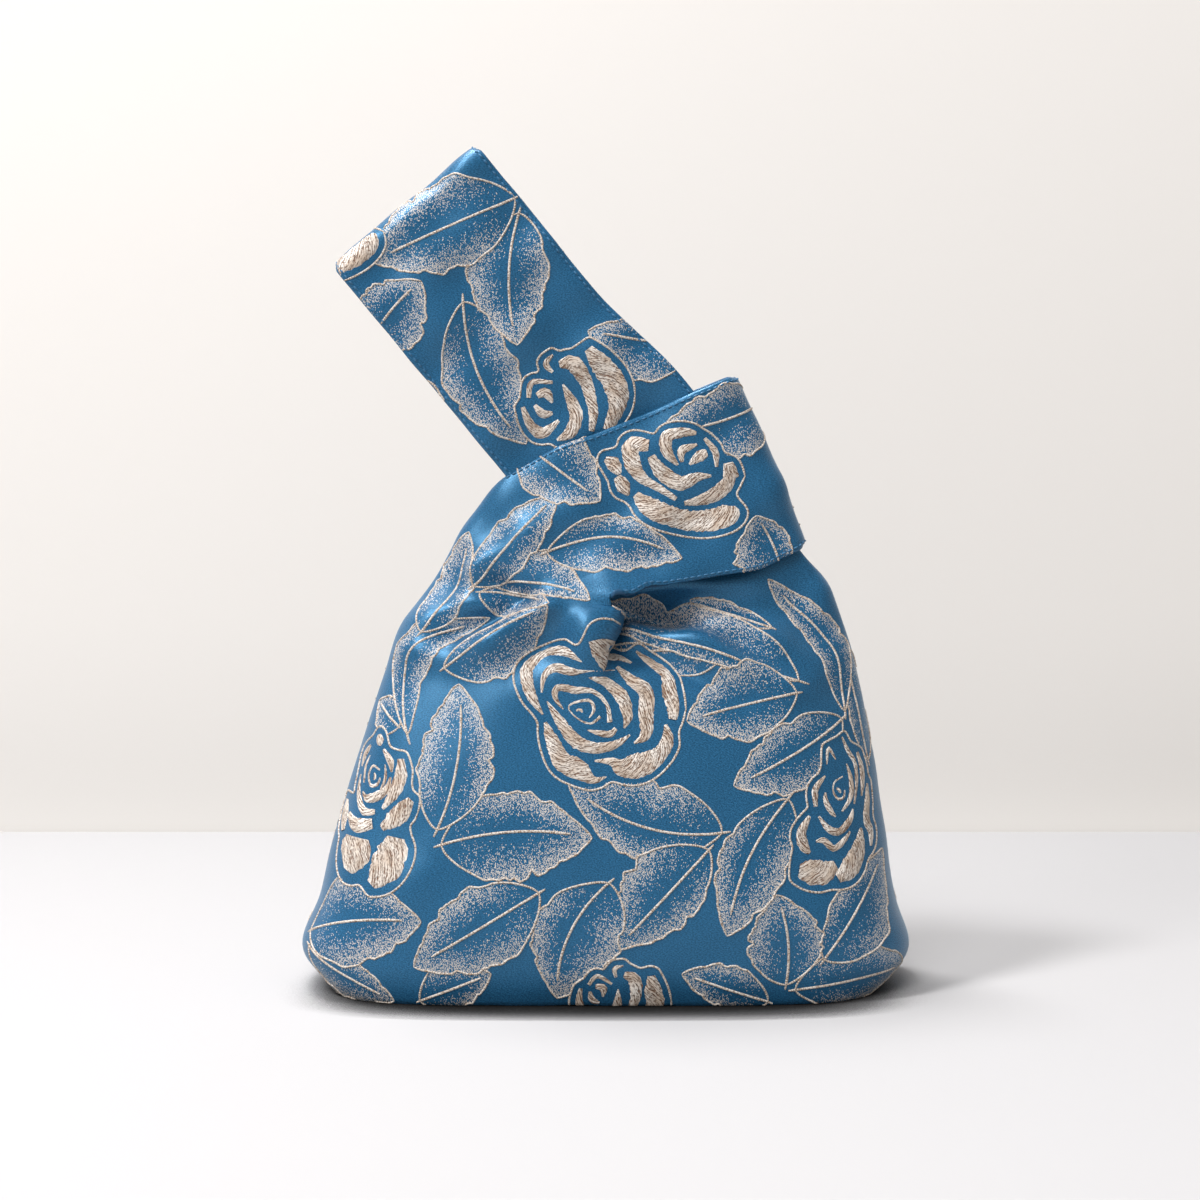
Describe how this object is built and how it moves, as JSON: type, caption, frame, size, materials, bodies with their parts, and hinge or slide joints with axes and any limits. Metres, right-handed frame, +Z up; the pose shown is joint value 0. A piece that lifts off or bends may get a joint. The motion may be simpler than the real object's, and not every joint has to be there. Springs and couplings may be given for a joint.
{
  "type": "knot bag",
  "caption": "Soft lined cloth wrist bag whose long strap loop passes through a short strap loop to close it, in blue brocade with pale roses and leaves.",
  "frame": {"origin": "on the surface that the bag stands on, under the middle of its box", "axes": "+Z up, +X to the right as seen from the front, -Y out of the front panel"},
  "size_m": [0.2412, 0.1012, 0.3319],
  "materials": {
    "brocade": "satin jacquard with raised pale thread",
    "lining": "plain sateen"
  },
  "bodies": {
    "root": {"outer_front_panel": "brocade", "outer_back_panel": "brocade", "front_lining": "lining", "back_lining": "lining"}
  },
  "joints": []
}
